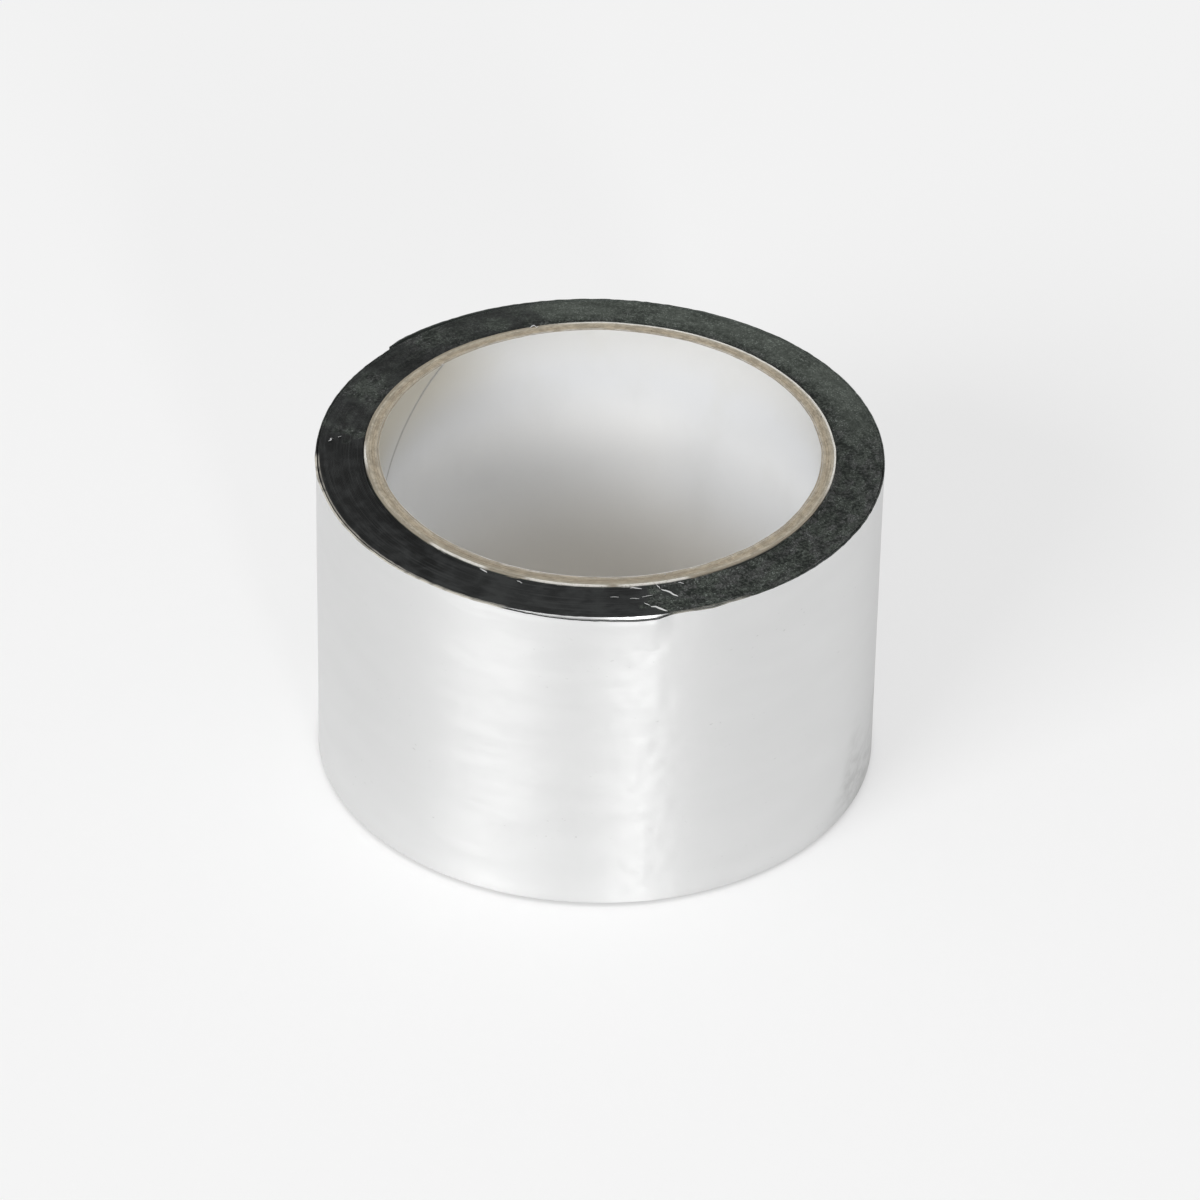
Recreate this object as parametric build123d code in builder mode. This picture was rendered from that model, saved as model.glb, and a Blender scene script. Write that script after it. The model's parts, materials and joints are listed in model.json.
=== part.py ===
"""Roll of foil-faced duct tape, in millimetres.

A spiral-wound paper core carries one long strip of tape, backing outside and adhesive inside.
The origin is the centre of the bore at the core's lower end, and +Z runs up the bore.
Angles are in degrees, anticlockwise about +Z from +X.
"""

from build123d import *
import os
from math import cos, pi, radians, sin, tan

# Core: a paper tube of glued plies, each one strip wound helically with its edges butted.
bore_diameter = 76.2
liner_thickness = 0.38
board_thickness = 0.44
board_count = 4
wrap_thickness = 0.36
glue_line = 0.02
core_overhang = 0.6  # how far the core stands out of the tape at each end
seam_width = 0.35
seam_angle = 32.3  # climb of the liner's seam, from level
liner_seam_start = 137.0  # where the liner's seam reaches the core's upper end
seam_stagger = 150.0  # turn from one ply's seam to the next

# Tape: a strip of backing and adhesive, wound anticlockwise outwards.
tape_width = 60.0
backing_thickness = 0.11
adhesive_thickness = 0.12
bond_gap = 0.01
half_turns = 65
tape_end_angle = 138.0  # where the strip's free end is

# Free end: the last stretch of the outer turn, not pressed down, as stiff links on creases.
link_count = 8
link_angle = 7.5
crease_gap = 0.04
free_end_lift = 0.8  # how far the very end stands off the turn below

# Worked out from the above.
core_length = tape_width + 2 * core_overhang
bore_radius = bore_diameter / 2
seam_pitch = 2 * pi * bore_radius * tan(radians(seam_angle))
tape_pitch = bond_gap + adhesive_thickness + bond_gap + backing_thickness
adhesive_offset = bond_gap
backing_offset = bond_gap + adhesive_thickness + bond_gap
free_end_angle = link_count * link_angle
peel_angle = tape_end_angle - free_end_angle
lift_radius = free_end_lift / (1 - cos(radians(free_end_angle)))

tape_bottom = Plane.XY.offset(core_overhang)


def export(piece, name):
    """Labels a finished piece and writes it as a STEP file of that name."""
    piece.part.label = name
    export_step(piece.part, f"parts/{name}.step")


def core_ply(inner_radius, thickness, seam_start):
    """One ply of the core: a tube that is open along its helical butt seam.

    The seam falls as it goes anticlockwise, from seam_start at the upper end. Its cutter is
    twice as thick as the ply and starts and ends beyond the tube, so the cut runs right through.
    """
    middle_radius = inner_radius + thickness / 2
    run_out = seam_width
    slot_length = core_length + 2 * run_out
    foot_angle = seam_start + 360 * (core_length + run_out) / seam_pitch
    foot = Plane.XY.rotated((0, 0, foot_angle)).offset(-run_out)
    slot_width = seam_width / sin(radians(seam_angle))
    with BuildPart() as ply:
        with BuildSketch():
            Circle(inner_radius + thickness)
            Circle(inner_radius, mode=Mode.SUBTRACT)
        extrude(amount=core_length)
        with BuildLine(foot) as seam:
            Helix(seam_pitch, slot_length, middle_radius, lefthand=True)
        with BuildSketch(foot) as slot:
            with Locations((middle_radius, 0)):
                Rectangle(2 * thickness, slot_width)
        sweep(slot.sketch, path=seam.line, is_frenet=True, mode=Mode.SUBTRACT)
    return ply


def turn_arcs(offset, thickness):
    """Inner and outer arcs of one layer of the wound tape, from the core to the peel line.

    The spiral is made of half turns about two centres, a quarter of the pitch each side of the
    axis, so the half turns meet tangentially and each is half a pitch larger than the last.
    """
    inner_arcs = []
    outer_arcs = []
    for half_turn in range(half_turns):
        centre, radius, start = half_turn_circle(half_turn)
        is_last = half_turn == half_turns - 1
        size = 180 - free_end_angle if is_last else 180
        inner_arcs.append(CenterArc(centre, radius + offset, start, size))
        outer_arcs.append(CenterArc(centre, radius + offset + thickness, start, size))
    return inner_arcs, outer_arcs


def half_turn_circle(half_turn):
    """Centre, inner radius and starting angle of one half turn of the tape's spiral."""
    start = tape_end_angle + 180 * (half_turn - half_turns)
    centre = Vector(-tape_pitch / 4, 0).rotate(Axis.Z, start)
    radius = core_radius + tape_pitch / 4 + half_turn * tape_pitch / 2
    return centre, radius, start


def wound_layer(offset, thickness):
    """One layer of the wound tape, backing or adhesive, as a single continuous strip."""
    with BuildPart() as layer:
        with BuildSketch(tape_bottom):
            with BuildLine():
                inner_arcs, outer_arcs = turn_arcs(offset, thickness)
                Line(inner_arcs[0] @ 0, outer_arcs[0] @ 0)
                Line(inner_arcs[-1] @ 1, outer_arcs[-1] @ 1)
            make_face()
        extrude(amount=tape_width)
    return layer


def free_end_circle():
    """Centre and inner radius of the arc that the free end lies along.

    It touches the last half turn's circle at the peel line and is larger, so it lifts away.
    """
    centre, radius, _ = half_turn_circle(half_turns - 1)
    return centre - Vector(lift_radius, 0).rotate(Axis.Z, peel_angle), radius + lift_radius


def free_end_link(number, offset, thickness):
    """One stiff link of the free end, counted from the peel line, of one layer of the tape."""
    centre, radius = free_end_circle()
    trim = crease_gap / 2 / radius * 180 / pi
    start = peel_angle + (number - 1) * link_angle + trim
    size = link_angle - 2 * trim
    with BuildPart() as link:
        with BuildSketch(tape_bottom):
            with BuildLine():
                inner = CenterArc(centre, radius + offset, start, size)
                outer = CenterArc(centre, radius + offset + thickness, start, size)
                Line(inner @ 0, outer @ 0)
                Line(inner @ 1, outer @ 1)
            make_face()
        extrude(amount=tape_width)
    return link


def crease_point(number):
    """Where the crease ahead of a link lies: on the backing's outer face, at its lower edge."""
    centre, radius = free_end_circle()
    angle = peel_angle + (number - 1) * link_angle
    reach = Vector(radius + tape_pitch, 0).rotate(Axis.Z, angle)
    return centre + reach + Vector(0, 0, core_overhang)


os.makedirs("parts", exist_ok=True)

# Plies of the core, from the bore outwards.
ply_names = ["core_liner"] + [f"core_board_{n + 1}" for n in range(board_count)] + ["core_wrap"]
ply_thicknesses = [liner_thickness] + [board_thickness] * board_count + [wrap_thickness]
ply_radius = bore_radius
for number, (name, thickness) in enumerate(zip(ply_names, ply_thicknesses)):
    ply = core_ply(ply_radius, thickness, liner_seam_start + number * seam_stagger)
    export(ply, name)
    ply_radius += thickness + glue_line
core_radius = ply_radius - glue_line

# The wound tape, and the links of its free end.
layers = {
    "adhesive": (adhesive_offset, adhesive_thickness),
    "backing": (backing_offset, backing_thickness),
}
for layer, (offset, thickness) in layers.items():
    export(wound_layer(offset, thickness), f"wound_{layer}")
    for number in range(1, link_count + 1):
        export(free_end_link(number, offset, thickness), f"free_end_{layer}_{number}")

# The hinge lines that the links turn about, each parallel to Z.
for number in range(1, link_count + 1):
    crease = crease_point(number)
    print(f"crease {number}: {crease.X:.4f}, {crease.Y:.4f}, {crease.Z:.4f}")
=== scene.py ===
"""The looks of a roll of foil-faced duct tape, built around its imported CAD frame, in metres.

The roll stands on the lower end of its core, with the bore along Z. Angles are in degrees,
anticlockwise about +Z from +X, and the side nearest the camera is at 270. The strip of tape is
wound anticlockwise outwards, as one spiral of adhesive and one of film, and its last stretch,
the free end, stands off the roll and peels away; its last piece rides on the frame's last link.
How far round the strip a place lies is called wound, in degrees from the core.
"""

import json
import logging
import math
from dataclasses import dataclass, field
from enum import Enum

import bpy
import numpy as np
from bpy.types import Material, NodeSocket, Object
from mathutils import Matrix, Vector

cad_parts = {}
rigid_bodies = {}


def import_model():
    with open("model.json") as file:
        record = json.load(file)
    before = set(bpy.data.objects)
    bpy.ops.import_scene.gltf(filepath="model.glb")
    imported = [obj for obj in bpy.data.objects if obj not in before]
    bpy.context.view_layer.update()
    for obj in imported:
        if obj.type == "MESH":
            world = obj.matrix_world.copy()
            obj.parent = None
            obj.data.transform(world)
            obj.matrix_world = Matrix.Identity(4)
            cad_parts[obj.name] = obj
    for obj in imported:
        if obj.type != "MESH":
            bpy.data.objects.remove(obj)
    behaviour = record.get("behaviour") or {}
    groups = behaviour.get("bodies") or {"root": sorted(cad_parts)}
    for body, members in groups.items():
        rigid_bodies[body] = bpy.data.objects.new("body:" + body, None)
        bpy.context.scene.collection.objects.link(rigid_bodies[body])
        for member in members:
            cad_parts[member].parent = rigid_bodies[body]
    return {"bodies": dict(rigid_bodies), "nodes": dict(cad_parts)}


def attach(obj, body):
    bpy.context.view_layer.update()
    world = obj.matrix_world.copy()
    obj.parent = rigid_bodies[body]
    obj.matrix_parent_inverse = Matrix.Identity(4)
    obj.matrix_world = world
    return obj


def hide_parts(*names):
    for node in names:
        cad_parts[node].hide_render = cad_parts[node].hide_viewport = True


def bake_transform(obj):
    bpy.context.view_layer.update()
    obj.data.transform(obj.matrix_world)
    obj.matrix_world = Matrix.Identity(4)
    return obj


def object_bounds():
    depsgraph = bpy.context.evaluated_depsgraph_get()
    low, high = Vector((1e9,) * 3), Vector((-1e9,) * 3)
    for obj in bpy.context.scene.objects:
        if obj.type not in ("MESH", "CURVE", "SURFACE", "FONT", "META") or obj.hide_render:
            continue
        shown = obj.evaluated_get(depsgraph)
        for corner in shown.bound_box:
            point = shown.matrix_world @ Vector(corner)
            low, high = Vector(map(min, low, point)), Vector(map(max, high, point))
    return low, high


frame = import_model()
CAD_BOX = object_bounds()

MM = 0.001
PLACE = "place"  # attribute: arc length, height and depth of each point along its strip, at rest
POLAR = "polar"  # attribute: each point moved onto a circle of POLAR_RADIUS, and its own radius
POLAR_RADIUS = 45 * MM
STRIP_UV = "strip"
WHITE = (1, 1, 1)

Array = np.ndarray
Colour = Triple = tuple[float, float, float]
Pair = tuple[float, float]
log = logging.getLogger("tape_roll")


# Shape helpers


def stacked(*parts: Array | float) -> Array:
    """Numbers side by side, as vectors."""
    return np.stack(np.broadcast_arrays(*parts), axis=-1)


def unit(angle: Array) -> Array:
    """Level unit vectors at these angles, in degrees."""
    turn = np.radians(angle)
    return stacked(np.cos(turn), np.sin(turn), 0)


def ease(value: Array, low: float, high: float) -> Array:
    """A smooth step that is 0 up to low and 1 from high on; high may be the lower of the two."""
    share = np.clip((value - low) / (high - low), 0, 1)
    return share * share * (3 - 2 * share)


def window(value: Array, low: float, high: float, soft: float) -> Array:
    """1 between low and high, falling smoothly to 0 within soft outside them."""
    return ease(value, low - soft, low) * ease(value, high + soft, high)


def fade(depth: Array, reach: float, power: float = 1) -> Array:
    """1 down to depth 0, then dying away over reach, more squarely at a higher power."""
    return np.exp(-((np.maximum(depth, 0) / reach) ** power))


def around(angle: Array, start: float) -> Array:
    """The same angles brought into the turn that begins at start."""
    return (np.asarray(angle) - start) % 360 + start


def placed(name: str, data: bpy.types.ID) -> Object:
    """A new object in the scene."""
    made = bpy.data.objects.new(name, data)
    bpy.context.scene.collection.objects.link(made)
    return made


def seat(piece: Object, node: str) -> None:
    """Lets a piece ride on the roll, in place of a CAD node."""
    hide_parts(node)
    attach(piece, "roll")


@dataclass(frozen=True)
class Ripple:
    """Smooth seeded noise from 0 to 1, along a line or over a plane."""

    seed: int
    cell: float  # size of one lump
    other: float = 0  # its size along the second direction, where that differs

    LATTICE = 256

    def at(self, first: Array, second: Array | float = 0) -> Array:
        """The noise at these places.

        Args:
            first: Places along the first direction, in the cell's units.
            second: Places along the second.

        Returns:
            The noise, in the places' own shape.
        """
        heights = np.random.default_rng(self.seed).random((self.LATTICE, self.LATTICE))
        u, v = np.broadcast_arrays(first / self.cell, second / (self.other or self.cell))
        column, row = np.floor(u).astype(int), np.floor(v).astype(int)
        across, along = ease(u - column, 0, 1), ease(v - row, 0, 1)

        def corner(step_u: int, step_v: int) -> Array:
            """The lattice heights at one corner of each place's cell."""
            return heights[(column + step_u) % self.LATTICE, (row + step_v) % self.LATTICE]

        near = corner(0, 0) * (1 - across) + corner(1, 0) * across
        far = corner(0, 1) * (1 - across) + corner(1, 1) * across
        return near * (1 - along) + far * along

    def over(self, points: Array) -> Array:
        """The noise over a level plane, at points."""
        return self.at(points[..., 0], points[..., 1])


def fill(items: bpy.types.bpy_prop_collection, key: str, values: Array, kind: type = np.float32) -> None:
    """Sets one property of every item in a mesh's collection."""
    items.foreach_set(key, values.reshape(-1).astype(kind))


@dataclass
class Sweep:
    """A closed solid made of stations, each a closed loop of the same number of points."""

    points: Array  # as stations by loop by 3
    slots: Array  # material slot of each of the loop's faces
    cap_slot: int
    place: Array  # the PLACE attribute, in the shape of points
    numbers: dict[str, Array] = field(default_factory=dict)  # more attributes, as stations by loop

    def cap(self, station: int) -> Array:
        """Triangles across one station, zipped by the shortest rungs between the loop's two sides."""
        ring = self.points[station]
        near, far = 0, len(ring) - 1
        triangles = []
        while far - near > 1:
            ahead, back = ring[near + 1] - ring[far], ring[near] - ring[far - 1]
            forward = np.linalg.norm(ahead) < np.linalg.norm(back)
            triangles.append((near, near + 1 if forward else far - 1, far))
            near, far = (near + 1, far) if forward else (near, far - 1)
        return np.array(triangles)

    def faces(self) -> tuple[Array, Array, Array]:
        """Corners of the four-sided faces, corners of the caps' triangles, and every face's slot."""
        stations, loop = self.points.shape[:2]
        index = np.arange(stations * loop).reshape(stations, loop)
        turned = np.roll(index, -1, axis=1)
        sides = stacked(index[:-1], index[1:], turned[1:], turned[:-1]).reshape(-1, 4)
        caps = np.concatenate([index[0][self.cap(0)], index[-1][self.cap(-1)[:, ::-1]]])
        slots = np.concatenate([np.tile(self.slots, stations - 1), np.full(len(caps), self.cap_slot)])
        return sides, caps, slots

    def build(self, name: str, materials: list[Material], crease: float = 35) -> Object:
        """Makes the solid's object.

        Args:
            name: Its piece name.
            materials: Its materials, in slot order.
            crease: Edges sharper than this many degrees stay sharp in shading.

        Returns:
            The new object, in the scene.
        """
        sides, caps, slots = self.faces()
        corners = np.concatenate([sides.reshape(-1), caps.reshape(-1)])
        starts = np.concatenate([np.arange(len(sides)) * 4, sides.size + np.arange(len(caps)) * 3])
        mesh = bpy.data.meshes.new(name)
        mesh.vertices.add(self.points.size // 3)
        fill(mesh.vertices, "co", self.points)
        mesh.loops.add(corners.size)
        fill(mesh.loops, "vertex_index", corners, np.int32)
        mesh.polygons.add(len(starts))
        fill(mesh.polygons, "loop_start", starts, np.int32)
        fill(mesh.polygons, "material_index", slots, np.int32)
        mesh.update(calc_edges=True)
        fill(mesh.polygons, "use_smooth", np.ones(len(starts)), bool)
        mesh.set_sharp_from_angle(angle=math.radians(crease))
        radius = np.hypot(self.points[..., 0], self.points[..., 1])
        polar = self.points * (POLAR_RADIUS / radius)[..., None]
        polar[..., 2] = radius
        for label, values in {PLACE: self.place, POLAR: polar, **self.numbers}.items():
            kind, key = ("FLOAT_VECTOR", "vector") if values.ndim == 3 else ("FLOAT", "value")
            fill(mesh.attributes.new(label, kind, "POINT").data, key, values)
        flat = self.place.reshape(-1, 3)[corners, :2]
        fill(mesh.uv_layers.new(name=STRIP_UV).data, "uv", flat)
        for material in materials:
            mesh.materials.append(material)
        return placed(name, mesh)


# Finishes


def shade(colour: Colour, share: float) -> Colour:
    """A colour darkened or brightened to this share."""
    return tuple(share * channel for channel in colour)


@dataclass(frozen=True)
class Value:
    """A number that a material works out, which adds, multiplies and changes range as numbers do."""

    nodes: "Nodes"
    socket: NodeSocket

    def math(self, operation: str, other: object) -> "Value":
        """This number combined with another by a Math node's operation."""
        made = self.nodes.node("Math", {0: self, 1: other}, operation=operation)
        return Value(self.nodes, made.outputs[0])

    def __add__(self, other: object) -> "Value":
        """The sum with another number."""
        return self.math("ADD", other)

    def __mul__(self, other: object) -> "Value":
        """The product with another number."""
        return self.math("MULTIPLY", other)

    def span(self, low: float, high: float, to_low: float = 0, to_high: float = 1) -> "Value":
        """This number moved smoothly from the range low to high to the range to_low to to_high."""
        keys = ("Value", "From Min", "From Max", "To Min", "To Max")
        inputs = dict(zip(keys, (self, low, high, to_low, to_high)))
        made = self.nodes.node("MapRange", inputs, interpolation_type="SMOOTHSTEP")
        return Value(self.nodes, made.outputs["Result"])


class Nodes:
    """A node tree, with short calls to make and join its nodes."""

    def __init__(self, tree: bpy.types.NodeTree) -> None:
        """Empties the tree."""
        self.tree = tree
        tree.nodes.clear()

    def node(self, kind: str, inputs: dict | None = None, **settings: object) -> bpy.types.Node:
        """A new shader node of this kind, with its properties set and its inputs fed."""
        made = self.tree.nodes.new("ShaderNode" + kind)
        for key, value in settings.items():
            setattr(made, key, value)
        for key, value in (inputs or {}).items():
            self.feed(made.inputs[key], value)
        return made

    def feed(self, target: NodeSocket, value: object) -> None:
        """Sets an input to a number or colour, or joins it to an output."""
        value = value.socket if isinstance(value, Value) else value
        if isinstance(value, NodeSocket):
            self.tree.links.new(value, target)
        elif isinstance(value, tuple) and len(target.default_value) == 4:
            target.default_value = (*value, 1)
        else:
            target.default_value = value


class Graph(Nodes):
    """A material's nodes around one Principled shader, with short calls for common ones."""

    def __init__(self, name: str) -> None:
        """Starts a material of this name with only its shader and output."""
        self.material = bpy.data.materials.new(name)
        self.material.use_nodes = True
        super().__init__(self.material.node_tree)
        self.shader = self.node("BsdfPrincipled")
        self.node("OutputMaterial", {"Surface": self.shader.outputs["BSDF"]})
        self.place, self.polar = (self.attribute(key).outputs["Vector"] for key in (PLACE, POLAR))

    def attribute(self, name: str) -> bpy.types.Node:
        """A node that reads one of the mesh's attributes."""
        return self.node("Attribute", attribute_name=name)

    def number(self, name: str) -> Value:
        """One of the mesh's numbers."""
        return Value(self, self.attribute(name).outputs["Fac"])

    def noise(
        self, source: NodeSocket, size: Triple, detail: float = 2, rough: float = 0.5, shift: float = 0
    ) -> Value:
        """Noise over the mesh's own places.

        Args:
            source: The places.
            size: Size of a lump along each of their directions, in millimetres.
            detail: How many finer layers it has.
            rough: How strong they are.
            shift: Picks another part of the pattern.

        Returns:
            The noise, about 0.5.
        """
        scale = tuple(1 / (length * MM) for length in size)
        scaled = self.node("Mapping", {"Vector": source, "Scale": scale, "Location": (shift,) * 3})
        pattern = {"Scale": 1, "Detail": detail, "Roughness": rough}
        made = self.node("TexNoise", {"Vector": scaled.outputs["Vector"], **pattern})
        return Value(self, made.outputs["Fac"])

    def along(self, arc: float, rise: float, depth: float = 1000, **pattern: float) -> Value:
        """Noise along the strip, with a lump's size along it, up it and through it."""
        return self.noise(self.place, (arc, rise, depth), **pattern)

    def across(self, arc: float, radius: float, **pattern: float) -> Value:
        """Noise over the roll's end, turn after turn, with a lump's size around it and outwards."""
        return self.noise(self.polar, (arc, arc, radius), **pattern)

    def blend(self, share: object, first: object, second: object) -> NodeSocket:
        """A colour between two, by share."""
        return self.node("Mix", {0: share, 6: first, 7: second}, data_type="RGBA").outputs[2]

    def bump(self, height: Value, depth: float) -> None:
        """Roughens the shading by a height from 0 to 1, where 1 stands for depth in metres."""
        made = self.node("Bump", {"Strength": 1, "Distance": depth, "Height": height})
        self.feed(self.shader.inputs["Normal"], made.outputs["Normal"])

    def finish(self, **sockets: object) -> Material:
        """Sets the shader's sockets, by name with _ for a space, and returns the material."""
        for key, value in sockets.items():
            self.feed(self.shader.inputs[key.replace("_", " ")], value)
        return self.material


@dataclass(frozen=True)
class FoilFinish:
    """Bright metallised film, rolled smooth, so that it scatters light more up and down than along."""

    colour: Colour = (0.925, 0.928, 0.925)
    # painted shade: the film darkened in clouds low on the right, where it is also rubbed
    shaded_and_rubbed: Colour = (0.5, 0.5, 0.49)
    roughness: float = 0.39
    anisotropy: float = 0.7
    turn: float = 0.25
    relief: float = 0.022 * MM

    def make(self) -> Material:
        """The finish's material, which reads where the mesh has painted shade and rubbing."""
        graph = Graph("foil_film")
        haze = graph.along(14, 5, detail=3)
        scratch = graph.along(2.6, 1.8, detail=3, rough=0.55, shift=3.1)
        fleck = graph.along(0.8, 0.5, detail=1, shift=6.3)
        patch = graph.along(13, 9, detail=1, shift=1.9)
        # painted shade, darker, with rubbing, rougher
        rubbed_shade = graph.number("scuff") * scratch.span(0.34, 0.7, 0.22, 0.62)
        dirt = fleck.span(0.72, 0.8, 0, 0.3) * patch.span(0.52, 0.62)
        clean = graph.blend(haze, self.colour, shade(self.colour, 0.97))
        rough = haze.span(0.3, 0.7, self.roughness - 0.03, self.roughness + 0.03)
        grain = graph.along(1.6, 0.28, detail=3, rough=0.6)
        crumple = graph.along(4, 1.1, shift=7.7)
        graph.bump(grain * 0.2 + crumple * 0.8, self.relief)
        tangent = graph.node("Tangent", direction_type="UV_MAP", uv_map=STRIP_UV)
        return graph.finish(
            Base_Color=graph.blend(rubbed_shade + dirt, clean, self.shaded_and_rubbed),
            Metallic=1,
            Roughness=rough + rubbed_shade * 0.15,
            Anisotropic=self.anisotropy,
            Anisotropic_Rotation=self.turn,
            Tangent=tangent.outputs["Tangent"],
        )


@dataclass(frozen=True)
class AdhesiveFinish:
    """The tacky side of the strip: dark grey-green, wet-looking and faintly stringy."""

    colour: Colour = (0.05, 0.058, 0.054)
    streak: Colour = (0.095, 0.105, 0.098)
    roughness: float = 0.28
    relief: float = 0.03 * MM

    def make(self) -> Material:
        """The finish's material."""
        graph = Graph("adhesive")
        strings = graph.along(6, 0.5, detail=3, rough=0.6)
        pores = graph.along(0.35, 0.35)
        graph.bump(strings * 0.7 + pores * 0.3, self.relief)
        return graph.finish(
            Base_Color=graph.blend(strings.span(0.4, 0.7), self.colour, self.streak),
            Roughness=pores.span(0.3, 0.7, self.roughness, self.roughness + 0.2),
        )


@dataclass(frozen=True)
class SlitFinish:
    """The knife-cut face of the wound strip: near black where it is smooth, speckled where it tore."""

    name: str
    smooth: Colour
    torn: Colour  # on the crests of the torn parts
    shaded_pit: Colour  # in their pits, darker than the crests: painted shade
    gloss: float  # roughness where it is smooth
    specular: float = 0.1
    dry: Colour = (0.6, 0.57, 0.5)  # on an edge that carries no adhesive
    glint: Colour = (0.27, 0.3, 0.275)
    relief: float = 0.15 * MM

    def make(self) -> Material:
        """The finish's material, which reads the mesh's grain, painted light with pale flecks, and pale
        edge.
        """
        graph = Graph(self.name)
        grain, bloom = graph.number("grain"), graph.number("bloom")
        speck = graph.across(0.5, 0.5, detail=3, rough=0.7)
        fine = graph.across(0.3, 0.26, detail=1, shift=8)
        patch = graph.across(2.6, 1.5, shift=5)
        lines = graph.across(16, 0.3, detail=3, rough=0.6, shift=2)
        # crests lighter and pits darker with the relief's own noise: painted shade in the pits, with
        # patches of random tone
        lift = speck.span(0.44, 0.62, 0, 0.66) + patch.span(0.38, 0.64, 0, 0.34)
        hue = graph.across(3.4, 2.2, shift=13)
        plain = hue.span(0.4, 0.6, 0, 0.9) + bloom * -1.5
        torn = graph.blend(lift, self.shaded_pit, graph.blend(plain, self.torn, (0.95 * self.torn[1],) * 3))
        # painted highlight: the torn parts lightened by the painted light
        lit = graph.blend(bloom * 0.45, torn, shade(self.torn, 1.25))
        glint = fine.span(0.6, 0.7) * patch.span(0.38, 0.56)
        sparkled = graph.blend(glint * 0.6, lit, self.glint)
        blotch = graph.across(3.6, 2.2, rough=0.6, shift=9)
        cloudy = lines.span(0.44, 0.72, 0, 0.6) + blotch.span(0.42, 0.68, 0, 0.48)
        # real lines and blotches, with painted sheen and pale flecks
        sheen = cloudy + bloom * 0.8
        smooth = graph.blend(sheen, self.smooth, shade(self.smooth, 3.4))
        graph.bump(speck * grain + lines * 0.05, self.relief)
        return graph.finish(
            Base_Color=graph.blend(graph.number("pale"), graph.blend(grain, smooth, sparkled), self.dry),
            Roughness=grain.span(0, 1, self.gloss, 0.75),
            Specular_IOR_Level=self.specular,
        )


@dataclass(frozen=True)
class LinerFinish:
    """The bore's white paper, streaked and faintly smudged, with painted light and shade, browner low down.
    """

    colour: Colour = (0.765, 0.775, 0.79)
    # painted light: the paper lightened in a band at mid-height
    fresh: Colour = (0.9, 0.902, 0.9)
    smudge: Colour = (0.74, 0.745, 0.735)
    # painted warm shade, low in the bore
    low: Colour = (0.785, 0.755, 0.7)
    # painted shade along the seam's gap, and grime at the cut ends
    grime: Colour = (0.46, 0.445, 0.425)
    # painted shade at the upper left, and darker paper near the top all round
    dull: Colour = (0.56, 0.53, 0.455)
    relief: float = 0.016 * MM

    def make(self) -> Material:
        """The finish's material, which reads the mesh's painted light and shade, and its grime."""
        graph = Graph("liner_paper")
        cloud = graph.along(12, 15, detail=3, shift=4)
        streak = graph.along(3, 26, detail=1, shift=2.2)
        fibre = graph.along(0.5, 0.9, detail=3, rough=0.6)
        mark = cloud.span(0.48, 0.75, 0, 0.45) + streak.span(0.5, 0.75, 0, 0.06)
        fresh = graph.number("fresh")
        marked = mark * (fresh * -0.8 + 1)
        white = graph.blend(marked, graph.blend(fresh, self.colour, self.fresh), self.smudge)
        brown = graph.blend(graph.number("brown"), white, self.low)
        dulled = graph.blend(graph.number("dull"), brown, self.dull)
        # painted shade along the seam and grime at the ends, broken by the fibres
        seam = graph.number("grime") * fibre.span(0.3, 0.6, 0.7, 1)
        graph.bump(fibre * 0.7 + streak * 0.3, self.relief)
        colour = graph.blend(seam, dulled, self.grime)
        return graph.finish(Base_Color=colour, Roughness=0.85, Specular_IOR_Level=0.25)


@dataclass(frozen=True)
class BoardFinish:
    """Grey board at a core's cut end, mottled and full of darker and paler fibres."""

    name: str
    colour: Colour
    relief: float = 0.12 * MM

    def make(self) -> Material:
        """The finish's material, which reads where the mesh is darker."""
        graph = Graph(self.name)
        mottle = graph.across(2, 0.9, detail=4, rough=0.65)
        fibre = graph.across(0.75, 0.16, detail=4, rough=0.7, shift=3)
        pale = graph.across(0.9, 0.13, shift=11)
        base = graph.blend(mottle.span(0.4, 0.6), shade(self.colour, 0.76), self.colour)
        fibred = graph.blend(fibre.span(0.54, 0.7, 0, 0.85), base, shade(self.colour, 0.48))
        picked = graph.blend(pale.span(0.6, 0.72, 0, 0.8), fibred, shade(self.colour, 1.35))
        dull = graph.number("dull") * 0.45
        graph.bump(fibre * 0.6 + mottle * 0.4, self.relief)
        colour = graph.blend(dull, picked, shade(self.colour, 0.6))
        return graph.finish(Base_Color=colour, Roughness=0.9, Specular_IOR_Level=0.2)


@dataclass(frozen=True)
class WrapFinish:
    """The core's outer ply: off-white paper, whose proud side is broken by smears of adhesive."""

    colour: Colour = (0.76, 0.74, 0.69)
    stain: Colour = (0.34, 0.3, 0.235)
    smear: Colour = (0.055, 0.06, 0.055)
    relief: float = 0.08 * MM

    def make(self) -> Material:
        """The finish's material, which reads the mesh's smear and clean."""
        graph = Graph("wrap_paper")
        fibres = graph.across(0.6, 0.15, detail=3, rough=0.6)
        torn = graph.along(3.6, 0.45, 0.5, detail=4, rough=0.65, shift=1.5)
        clean = graph.blend(graph.number("clean"), self.stain, self.colour)
        fibred = graph.blend(fibres.span(0.5, 0.72, 0, 0.6), clean, shade(self.stain, 0.7))
        dirty = graph.number("smear") * torn.span(0.36, 0.48)
        graph.bump(fibres, self.relief)
        colour = graph.blend(dirty, fibred, self.smear)
        return graph.finish(Base_Color=colour, Roughness=0.8, Specular_IOR_Level=0.3)


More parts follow.
